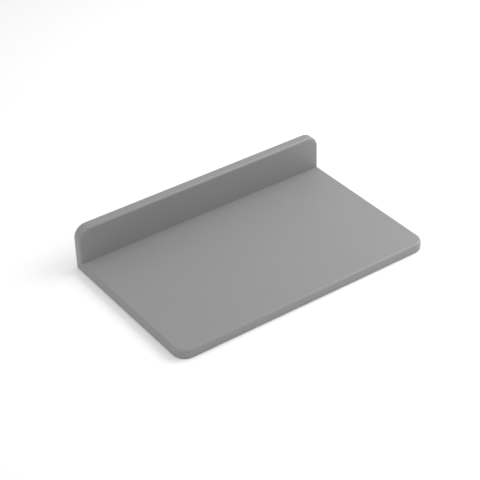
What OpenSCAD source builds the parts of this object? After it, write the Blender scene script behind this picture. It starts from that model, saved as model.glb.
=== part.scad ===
// Door stop plate: an L-shaped moulded cover over a folded steel core, on a rubber sole.
// Millimetres. X runs along the upstand, +Y points to the upstand at the rear, +Z is up.
// The origin is on the floor, under the centre of the overall box.

/* [Overall] */
// Length of the stop, left to right
overall_w = 150; // [120:1:200]
// Depth from the front edge to the back of the upstand
overall_d = 95; // [80:1:120]
// Height of the upstand above the floor
overall_h = 25; // [20:0.5:35]
// Thickness of the base, from the floor to its top face
base_t = 5; // [4.8:0.1:7]
// Thickness of the upstand, front to back
upstand_t = 5.8; // [5.6:0.1:8]

/* [Rounding] */
// Radius of the base's front corners, seen from above
front_corner_r = 7; // [4:0.5:12]
// Radius of the upstand's top corners, seen from the front
upstand_corner_r = 7; // [4:0.5:9]
// Rounding of the exposed top and upright edges
edge_r = 1.4; // [1:0.1:2]
// Rounding of the cover's bottom edge
foot_r = 0.5; // [0.4:0.1:0.8]

/* [Layers] */
// Height of the cover's rim above the floor
rim_gap = 0.3; // [0.2:0.1:0.6]
// Thickness of the rubber sole
sole_t = 1.2; // [1:0.1:1.4]
// Thickness of each adhesive film
film_t = 0.2; // [0.1:0.05:0.25]
// Thickness of the steel core
core_t = 2; // [1.5:0.1:2]
// Width of the cover's rim around the sole
rim_w = 2; // [1.8:0.1:3]
// Width of the ledge between the rim and the core's pocket
ledge_w = 2.5; // [1.5:0.5:4]
// Solid height left over the slot in the upstand
crown_t = 2.5; // [2:0.5:4]

/* [Locating pins] */
// Diameter of the cover's locating pins
pin_d = 4; // [3:0.5:5]
// Spacing of the pins along X
pin_pitch_x = 52; // [30:1:55]
// Spacing of the two rows of pins along Y
pin_pitch_y = 50; // [30:1:60]

/* [Grip grooves] */
// Width of a groove
groove_w = 1.4; // [1:0.1:2]
// Depth of a groove
groove_depth = 0.6; // [0.3:0.1:0.8]
// Distance from one row of grooves to the next
groove_pitch = 7; // [5:0.5:10]
// Rubber left between two grooves of one row
groove_bridge = 5; // [3:0.5:8]

/* [Hidden] */
$fn = 64;

half_w = overall_w / 2;
front_y = -overall_d / 2;
rear_y = overall_d / 2;
upstand_front_y = rear_y - upstand_t;

// Levels of the layers, from the floor up
sole_top_z = sole_t;
core_bottom_z = sole_top_z + film_t;
core_top_z = core_bottom_z + core_t;
ceiling_z = core_top_z + film_t;
slot_top_z = overall_h - crown_t;

// Play round the core in its pocket, and round the sole in its rim
core_play = 0.3;
slot_play = 0.1;
sole_play = 0.15;

// The pocket's walls
pocket_half_w = half_w - rim_w - ledge_w;
pocket_front_y = front_y + rim_w + ledge_w;
pocket_rear_y = rear_y - rim_w;
slot_front_y = pocket_rear_y - core_t - 2 * slot_play;

// The core's folded sheet
bend_in_r = 1;
bend_out_r = bend_in_r + core_t;
core_half_w = pocket_half_w - core_play;
core_front_y = pocket_front_y + core_play;
core_rear_y = pocket_rear_y - slot_play;
bend_y = core_rear_y - bend_out_r;
bend_z = core_top_z + bend_in_r;
core_high_z = slot_top_z - core_play;
core_chamfer = 3;

pin_short = 0.2;
pin_root = 0.4;
// Play round the pins, in the core's holes and in the film's
core_hole_play = 0.4;
film_hole_play = 1;
pin_hole_d = pin_d + core_hole_play;
film_hole_d = pin_d + film_hole_play;
film_inset = 0.5;
sole_corner_r = 1;

// The grooves' rounded ends as a share of their width, the space they fill, and how many a row
// holds by turns
groove_roundness = 0.45;
groove_corner_r = groove_roundness * groove_w;
groove_row_w = overall_w - 2 * rim_w - 2 * groove_pitch;
groove_rows_d = overall_d - 2 * rim_w - 2 * groove_pitch;
groove_counts = [3, 4];

// A quarter of a disc, in the quadrant that the signs side_x and side_y point to
module quarter_disc(r, side_x, side_y) {
    intersection() {
        circle(r);
        translate([min(side_x, 0) * r, min(side_y, 0) * r]) square(r);
    }
}

// What a quarter disc leaves of its square, with the square's waste corner at the origin
module corner_waste(r) {
    difference() {
        square(r);
        translate([r, r]) circle(r);
    }
}

// A rectangle centred on the y axis, with one radius at its two low corners and one at its two
// high ones
module outline(width, y0, y1, r_low, r_high) {
    difference() {
        translate([-width / 2, y0]) square([width, y1 - y0]);
        for (side = [0, 1]) mirror([side, 0]) {
            if (r_low > 0) translate([-width / 2, y0]) corner_waste(r_low);
            if (r_high > 0) translate([-width / 2, y1]) mirror([0, 1]) corner_waste(r_high);
        }
    }
}

// Quarter-round bars along each axis. The bar's sharp edge lies on the named line, and its
// round side faces the way that the two signs point.
module bar_x(x0, x1, y, z, r, side_y, side_z) {
    translate([x0, y, z]) rotate([90, 0, 90]) linear_extrude(x1 - x0)
        quarter_disc(r, side_y, side_z);
}

module bar_y(x, y0, y1, z, r, side_x, side_z) {
    translate([x, y1, z]) rotate([90, 0, 0]) linear_extrude(y1 - y0)
        quarter_disc(r, side_x, side_z);
}

module bar_z(x, y, z0, z1, r, side_x, side_y) {
    translate([x, y, z0]) linear_extrude(z1 - z0) quarter_disc(r, side_x, side_y);
}

// A quarter-round edge carried round a corner of radius corner_r, starting at the angle start
module corner_ring(corner_r, r, start, side_z) {
    rotate([0, 0, start]) rotate_extrude(angle = 90) translate([corner_r - r, 0])
        quarter_disc(r, 1, side_z);
}

// The same corner stood upright, with its round side to the front or the rear
module upright_corner_ring(corner_r, r, start, side_y) {
    rotate([90, 0, 0]) corner_ring(corner_r, r, start, -side_y);
}

// The base plate between its two rounded edges
module base_middle() {
    translate([0, 0, rim_gap + foot_r]) linear_extrude(base_t - edge_r - rim_gap - foot_r)
        outline(overall_w, front_y, rear_y, front_corner_r, edge_r);
}

// The base's top face, with the rounding along its front and its two ends
module base_top() {
    z = base_t - edge_r;
    inset_w = overall_w - 2 * edge_r;
    translate([0, 0, z]) linear_extrude(edge_r)
        outline(inset_w, front_y + edge_r, upstand_front_y, front_corner_r - edge_r, 0);
    bar_x(-half_w + front_corner_r, half_w - front_corner_r, front_y + edge_r, z, edge_r, -1, 1);
    for (side = [-1, 1]) {
        bar_y(side * (half_w - edge_r), front_y + front_corner_r, upstand_front_y + edge_r, z,
            edge_r, side, 1);
        translate([side * (half_w - front_corner_r), front_y + front_corner_r, z])
            corner_ring(front_corner_r, edge_r, side < 0 ? 180 : 270, 1);
    }
}

// The base's bottom layer, rounded all the way round
module base_bottom() {
    z = rim_gap + foot_r;
    translate([0, 0, rim_gap]) linear_extrude(foot_r)
        outline(overall_w - 2 * foot_r, front_y + foot_r, rear_y - foot_r,
            front_corner_r - foot_r, edge_r - foot_r);
    bar_x(-half_w + front_corner_r, half_w - front_corner_r, front_y + foot_r, z, foot_r, -1, -1);
    bar_x(-half_w + edge_r, half_w - edge_r, rear_y - foot_r, z, foot_r, 1, -1);
    for (side = [-1, 1]) {
        bar_y(side * (half_w - foot_r), front_y + front_corner_r, rear_y - edge_r, z, foot_r,
            side, -1);
        translate([side * (half_w - front_corner_r), front_y + front_corner_r, z])
            corner_ring(front_corner_r, foot_r, side < 0 ? 180 : 270, -1);
        translate([side * (half_w - edge_r), rear_y - edge_r, z])
            corner_ring(edge_r, foot_r, side < 0 ? 90 : 0, -1);
    }
}

// A layer of the upstand, from y0 to y1, set in from the outline by inset
module upstand_layer(y0, y1, inset) {
    translate([0, y1, 0]) rotate([90, 0, 0]) linear_extrude(y1 - y0)
        outline(overall_w - 2 * inset, base_t - edge_r, overall_h - inset, 0,
            upstand_corner_r - inset);
}

// The rounding round one face of the upstand: its ends, its top corners and its top. The bars'
// sharp edges lie at y, and side_y points to the face.
module upstand_rounding(y, side_y) {
    corner_z = overall_h - upstand_corner_r;
    bar_x(-half_w + upstand_corner_r, half_w - upstand_corner_r, y, overall_h - edge_r, edge_r,
        side_y, 1);
    for (side = [-1, 1]) {
        bar_z(side * (half_w - edge_r), y, base_t - edge_r, corner_z, edge_r, side, side_y);
        translate([side * (half_w - upstand_corner_r), y, corner_z])
            upright_corner_ring(upstand_corner_r, edge_r, side < 0 ? 90 : 0, side_y);
    }
}

module upstand() {
    upstand_layer(upstand_front_y, upstand_front_y + edge_r, edge_r);
    upstand_layer(upstand_front_y + edge_r, rear_y - edge_r, 0);
    upstand_layer(rear_y - edge_r, rear_y, edge_r);
    upstand_rounding(upstand_front_y + edge_r, -1);
    upstand_rounding(rear_y - edge_r, 1);
}

// The recess for the sole, open at the floor
module sole_recess() {
    linear_extrude(core_bottom_z)
        outline(overall_w - 2 * rim_w, front_y + rim_w, pocket_rear_y, front_corner_r - rim_w,
            sole_corner_r);
}

// The pocket for the folded core: a flat space over the base, and a slot up into the upstand.
// Its inner corner is cut back to clear the inside of the bend.
module core_pocket() {
    relief = bend_in_r + slot_play;
    translate([-pocket_half_w, 0, 0]) rotate([90, 0, 90]) linear_extrude(2 * pocket_half_w)
        polygon([
            [pocket_front_y, sole_top_z],
            [pocket_rear_y, sole_top_z],
            [pocket_rear_y, slot_top_z],
            [slot_front_y, slot_top_z],
            [slot_front_y, core_top_z + relief],
            [slot_front_y - relief, ceiling_z],
            [pocket_front_y, ceiling_z]
        ]);
}

// The places of the locating pins
module at_pins() {
    for (column = [-1:1], row = [-0.5, 0.5])
        translate([column * pin_pitch_x, row * pin_pitch_y, 0]) children();
}

module cover() {
    pin_z = core_bottom_z + pin_short;
    color("#9a9a9a") {
        difference() {
            union() {
                base_middle();
                base_top();
                base_bottom();
                upstand();
            }
            sole_recess();
            core_pocket();
        }
        at_pins() translate([0, 0, pin_z]) cylinder(d = pin_d, h = ceiling_z + pin_root - pin_z);
    }
}

// The core's base leg, its bend and its upright leg, folded from one sheet
module core_plate() {
    color("#8c9197") difference() {
        union() {
            translate([0, 0, core_bottom_z]) linear_extrude(core_t)
                polygon([
                    [-core_half_w + core_chamfer, core_front_y],
                    [core_half_w - core_chamfer, core_front_y],
                    [core_half_w, core_front_y + core_chamfer],
                    [core_half_w, bend_y],
                    [-core_half_w, bend_y],
                    [-core_half_w, core_front_y + core_chamfer]
                ]);
            translate([-core_half_w, bend_y, bend_z]) rotate([90, 0, 90])
                linear_extrude(2 * core_half_w) difference() {
                    quarter_disc(bend_out_r, 1, -1);
                    circle(bend_in_r);
                }
            translate([0, core_rear_y, 0]) rotate([90, 0, 0]) linear_extrude(core_t)
                polygon([
                    [-core_half_w, bend_z],
                    [core_half_w, bend_z],
                    [core_half_w, core_high_z - core_chamfer],
                    [core_half_w - core_chamfer, core_high_z],
                    [-core_half_w + core_chamfer, core_high_z],
                    [-core_half_w, core_high_z - core_chamfer]
                ]);
        }
        at_pins() cylinder(d = pin_hole_d, h = ceiling_z);
    }
}

module core_tape() {
    color("#e8e2cf") translate([0, 0, core_top_z]) linear_extrude(film_t) difference() {
        translate([-core_half_w + core_chamfer, core_front_y + core_chamfer])
            square([2 * (core_half_w - core_chamfer), bend_y - core_front_y - 2 * core_chamfer]);
        at_pins() circle(d = film_hole_d);
    }
}

// One row of grip grooves along X, centred on the line at y and open at the floor
module groove_row(y, count) {
    step = (groove_row_w + groove_bridge) / count;
    length = step - groove_bridge;
    for (i = [0 : count - 1])
        translate([(i + 0.5) * step - (groove_row_w + groove_bridge) / 2, 0, 0])
            linear_extrude(groove_depth)
                outline(length, y - groove_w / 2, y + groove_w / 2, groove_corner_r,
                    groove_corner_r);
}

module sole() {
    inset = rim_w + sole_play;
    rows = floor(groove_rows_d / groove_pitch / 2);
    color("#2b2b2b") difference() {
        linear_extrude(sole_t)
            outline(overall_w - 2 * inset, front_y + inset, rear_y - inset,
                front_corner_r - inset, sole_corner_r);
        for (row = [-rows : rows]) groove_row(row * groove_pitch, groove_counts[abs(row) % 2]);
    }
}

module sole_tape() {
    inset = rim_w + sole_play + film_inset;
    color("#e8e2cf") translate([0, 0, sole_top_z]) linear_extrude(film_t)
        outline(overall_w - 2 * inset, front_y + inset, rear_y - inset,
            front_corner_r - inset, sole_corner_r);
}

cover();
core_plate();
core_tape();
sole();
sole_tape();
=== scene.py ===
"""Looks for the L-shaped door stop: materials for the moulded cover, its steel core, the adhesive
films and the rubber sole, on a plain pale floor in soft studio light. Metres, in the CAD frame."""
import math

import bpy
from mathutils import Matrix, Vector

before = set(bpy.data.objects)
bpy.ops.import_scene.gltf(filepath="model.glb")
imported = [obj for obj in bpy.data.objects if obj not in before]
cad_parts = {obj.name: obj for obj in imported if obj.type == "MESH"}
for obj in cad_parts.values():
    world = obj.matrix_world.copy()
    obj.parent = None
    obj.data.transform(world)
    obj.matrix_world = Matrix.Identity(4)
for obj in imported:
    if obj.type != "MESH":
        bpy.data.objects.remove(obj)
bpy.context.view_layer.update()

MM = 0.001

# ---------------------------------------------------------------- camera

CAMERA_AIM = Vector((0.2, 10.5, 5.0)) * MM
CAMERA_DISTANCE = 0.7493
CAMERA_AZIMUTH = -34.63
CAMERA_ELEVATION = 35.02
CAMERA_ROLL = -1.745
CAMERA_LENS = 110.26
SENSOR_WIDTH = 36.0
CLIP_START, CLIP_END = 0.01, 20.0


def direction(azimuth, elevation):
    """The unit vector from the object towards that azimuth and elevation, both in degrees.
    Azimuth 0 is in front, at -Y, and 90 is on the right, at +X."""
    a, e = math.radians(azimuth), math.radians(elevation)
    return Vector((math.sin(a) * math.cos(e), -math.cos(a) * math.cos(e), math.sin(e)))


def make_camera():
    back = direction(CAMERA_AZIMUTH, CAMERA_ELEVATION)
    data = bpy.data.cameras.new("camera")
    data.lens = CAMERA_LENS
    data.sensor_width = SENSOR_WIDTH
    data.clip_start, data.clip_end = CLIP_START, CLIP_END
    camera = bpy.data.objects.new("camera", data)
    roll = Matrix.Rotation(math.radians(CAMERA_ROLL), 3, "Z")
    turn = back.to_track_quat("Z", "Y").to_matrix() @ roll
    camera.matrix_world = Matrix.Translation(CAMERA_AIM + back * CAMERA_DISTANCE) @ turn.to_4x4()
    bpy.context.scene.collection.objects.link(camera)
    bpy.context.scene.camera = camera


# ---------------------------------------------------------------- light and floor

FLOOR_SIZE = 8.0
FLOOR_WHITE = 0.93
WORLD_STRENGTH = 0.68
# Each softbox: azimuth and elevation in degrees, distance and size in metres, power in watts
SOFTBOXES = {
    "key": (90.0, 40.0, 0.45, 0.3, 0.87),
    "front": (60.0, 40.0, 0.45, 0.3, 0.55),
    "fill": (270.0, 60.0, 1.2, 0.6, 3.0),
}


def make_softbox(name, azimuth, elevation, distance, size, power):
    data = bpy.data.lights.new(name, "AREA")
    data.shape = "SQUARE"
    data.size = size
    data.energy = power
    light = bpy.data.objects.new(name, data)
    back = direction(azimuth, elevation)
    light.rotation_mode = "QUATERNION"
    light.rotation_quaternion = back.to_track_quat("Z", "Y")
    light.location = back * distance
    light.visible_camera = False
    bpy.context.scene.collection.objects.link(light)


def make_studio():
    scene = bpy.context.scene
    scene.view_settings.view_transform = "Standard"
    world = bpy.data.worlds.new("studio")
    world.use_nodes = True
    background = world.node_tree.nodes["Background"]
    background.inputs["Color"].default_value = (1.0, 1.0, 1.0, 1.0)
    background.inputs["Strength"].default_value = WORLD_STRENGTH
    scene.world = world
    for name, settings in SOFTBOXES.items():
        make_softbox(name, *settings)


def make_floor():
    half = FLOOR_SIZE / 2
    mesh = bpy.data.meshes.new("floor")
    mesh.from_pydata([(-half, -half, 0), (half, -half, 0), (half, half, 0), (-half, half, 0)], [],
                     [(0, 1, 2, 3)])
    floor = bpy.data.objects.new("floor", mesh)
    bpy.context.scene.collection.objects.link(floor)
    floor.data.materials.append(floor_material())


# ---------------------------------------------------------------- materials

COVER_GREY = 0.2415
STEEL_COLOR = (0.60, 0.61, 0.63)
FILM_COLOR = (0.78, 0.74, 0.62)
RUBBER_COLOR = (0.033, 0.033, 0.035)

# Each material's lowest and highest roughness
COVER_ROUGHNESS = (0.41, 0.49)
STEEL_ROUGHNESS = (0.30, 0.46)
FILM_ROUGHNESS = (0.25, 0.45)
RUBBER_ROUGHNESS = (0.72, 0.88)

# Sizes of the patterns in millimetres
PAPER_MOTTLE_SIZE = 400.0
GRAIN_SIZE = 0.35
RIPPLE_SIZE = 7.0
CLOUD_SIZE = 38.0
ROLLING_LINE_SIZE = 0.5
SPANGLE_SIZE = 5.0
STREAK_SIZE = 3.0
BLOTCH_SIZE = 14.0
PEBBLE_SIZE = 0.7
DUST_SIZE = 22.0

# Depths of the bumps in millimetres
GRAIN_DEPTH = 0.012
RIPPLE_DEPTH = 0.01
ROLLING_LINE_DEPTH = 0.006
STREAK_DEPTH = 0.008
PEBBLE_DEPTH = 0.04


class Nodes:
    """A material under construction: its node tree, its shader and coordinates in millimetres."""

    def __init__(self, name):
        self.material = bpy.data.materials.new(name)
        self.material.use_nodes = True
        self.tree = self.material.node_tree
        self.shader = self.tree.nodes["Principled BSDF"]
        place = self.add("ShaderNodeTexCoord")
        self.millimetres = self.add("ShaderNodeMapping", {"Vector": place.outputs["Object"]})
        self.millimetres.inputs["Scale"].default_value = (1 / MM, 1 / MM, 1 / MM)

    def add(self, kind, links=None, values=None, **settings):
        node = self.tree.nodes.new(kind)
        for key, value in settings.items():
            setattr(node, key, value)
        for key, value in (values or {}).items():
            node.inputs[key].default_value = value
        for key, output in (links or {}).items():
            self.tree.links.new(output, node.inputs[key])
        return node

    def stretch(self, x, y, z):
        """Millimetre coordinates multiplied along each axis, for a pattern drawn out one way."""
        node = self.add("ShaderNodeMapping", {"Vector": self.millimetres.outputs["Vector"]})
        node.inputs["Scale"].default_value = (x, y, z)
        return node.outputs["Vector"]

    def noise(self, size, detail=3.0, roughness=0.5, vector=None):
        """Noise whose features are about size millimetres across."""
        vector = vector or self.millimetres.outputs["Vector"]
        node = self.add("ShaderNodeTexNoise", {"Vector": vector},
                        {"Scale": 1 / size, "Detail": detail, "Roughness": roughness})
        return node.outputs["Fac"]

    def cells(self, size):
        """How far a point is from the middle of its cell, for cells size millimetres across."""
        node = self.add("ShaderNodeTexVoronoi", {"Vector": self.millimetres.outputs["Vector"]},
                        {"Scale": 1 / size})
        return node.outputs["Distance"]

    def span(self, value, low, high, from_low=0.3, from_high=0.7):
        """value, which lies between from_low and from_high, carried to low..high."""
        node = self.add("ShaderNodeMapRange", {"Value": value},
                        {"From Min": from_low, "From Max": from_high, "To Min": low,
                         "To Max": high})
        return node.outputs["Result"]

    def total(self, first, second):
        node = self.add("ShaderNodeMath", operation="ADD")
        self.tree.links.new(first, node.inputs[0])
        self.tree.links.new(second, node.inputs[1])
        return node.outputs["Value"]

    def shade(self, color, factor):
        """color brightened or darkened by a factor that varies over the surface."""
        node = self.add("ShaderNodeVectorMath", {"Scale": factor}, operation="SCALE")
        node.inputs[0].default_value = color
        return node.outputs["Vector"]

    def bump(self, height, depth, below=None):
        """A bump of that depth in millimetres, on top of another bump if one is given."""
        links = {"Height": height}
        if below is not None:
            links["Normal"] = below
        node = self.add("ShaderNodeBump", links, {"Strength": 1.0, "Distance": depth * MM})
        return node.outputs["Normal"]

    def finish(self, links, values):
        for key, output in links.items():
            self.tree.links.new(output, self.shader.inputs[key])
        for key, value in values.items():
            self.shader.inputs[key].default_value = value
        return self.material


def floor_material():
    """Plain white studio paper, hardly mottled."""
    n = Nodes("studio_paper")
    tone = n.span(n.noise(PAPER_MOTTLE_SIZE), 0.995, 1.005)
    return n.finish({"Base Color": n.shade((FLOOR_WHITE, FLOOR_WHITE, FLOOR_WHITE), tone)},
                    {"Roughness": 0.95, "Specular IOR Level": 0.1})


def cover_material():
    """Soft-touch moulding: mid grey, matt, with a fine spark-eroded grain."""
    n = Nodes("cover_soft_touch")
    grain = n.noise(GRAIN_SIZE, 4.0, 0.6)
    ripple = n.noise(RIPPLE_SIZE, 2.0, 0.4)
    clouds = n.noise(CLOUD_SIZE)
    tone = n.total(n.span(clouds, 0.985, 1.005), n.span(grain, -0.012, 0.012))
    return n.finish(
        {
            "Base Color": n.shade((COVER_GREY, COVER_GREY, COVER_GREY), tone),
            "Roughness": n.span(n.total(grain, ripple), *COVER_ROUGHNESS, 0.7, 1.3),
            "Normal": n.bump(grain, GRAIN_DEPTH, n.bump(ripple, RIPPLE_DEPTH)),
        },
        {"Specular IOR Level": 0.5},
    )


def steel_material():
    """Zinc plated sheet steel: faint spangles and rolling lines along its length."""
    n = Nodes("core_zinc_plate")
    lines = n.noise(ROLLING_LINE_SIZE, 3.0, 0.6, n.stretch(0.02, 1.0, 1.0))
    spangle = n.cells(SPANGLE_SIZE)
    tone = n.total(n.span(spangle, 0.94, 1.04, 0.0, 0.9), n.span(lines, -0.03, 0.03))
    return n.finish(
        {
            "Base Color": n.shade(STEEL_COLOR, tone),
            "Roughness": n.span(lines, *STEEL_ROUGHNESS),
            "Normal": n.bump(lines, ROLLING_LINE_DEPTH),
        },
        {"Metallic": 1.0},
    )


def film_material():
    """Double-sided adhesive film: cream, faintly streaked."""
    n = Nodes("adhesive_film")
    streaks = n.noise(STREAK_SIZE, vector=n.stretch(0.05, 1.0, 1.0))
    blotches = n.noise(BLOTCH_SIZE)
    tone = n.total(n.span(streaks, 0.95, 1.02), n.span(blotches, -0.03, 0.03))
    return n.finish(
        {
            "Base Color": n.shade(FILM_COLOR, tone),
            "Roughness": n.span(blotches, *FILM_ROUGHNESS),
            "Normal": n.bump(streaks, STREAK_DEPTH),
        },
        {"Specular IOR Level": 0.5},
    )


def rubber_material():
    """Matt black rubber, pebbled by its mould and a little dusty."""
    n = Nodes("sole_rubber")
    pebbles = n.cells(PEBBLE_SIZE)
    dust = n.noise(DUST_SIZE, 5.0, 0.6)
    tone = n.total(n.span(dust, 0.85, 1.35), n.span(pebbles, -0.1, 0.1, 0.0, 0.8))
    return n.finish(
        {
            "Base Color": n.shade(RUBBER_COLOR, tone),
            "Roughness": n.span(dust, *RUBBER_ROUGHNESS),
            "Normal": n.bump(pebbles, PEBBLE_DEPTH),
        },
        {"Specular IOR Level": 0.4},
    )


def dress(node, material):
    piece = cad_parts[node]
    piece.data.materials.clear()
    piece.data.materials.append(material)


make_camera()
make_studio()
make_floor()
film = film_material()
dress("cover", cover_material())
dress("core_plate", steel_material())
dress("core_tape", film)
dress("sole_tape", film)
dress("sole", rubber_material())
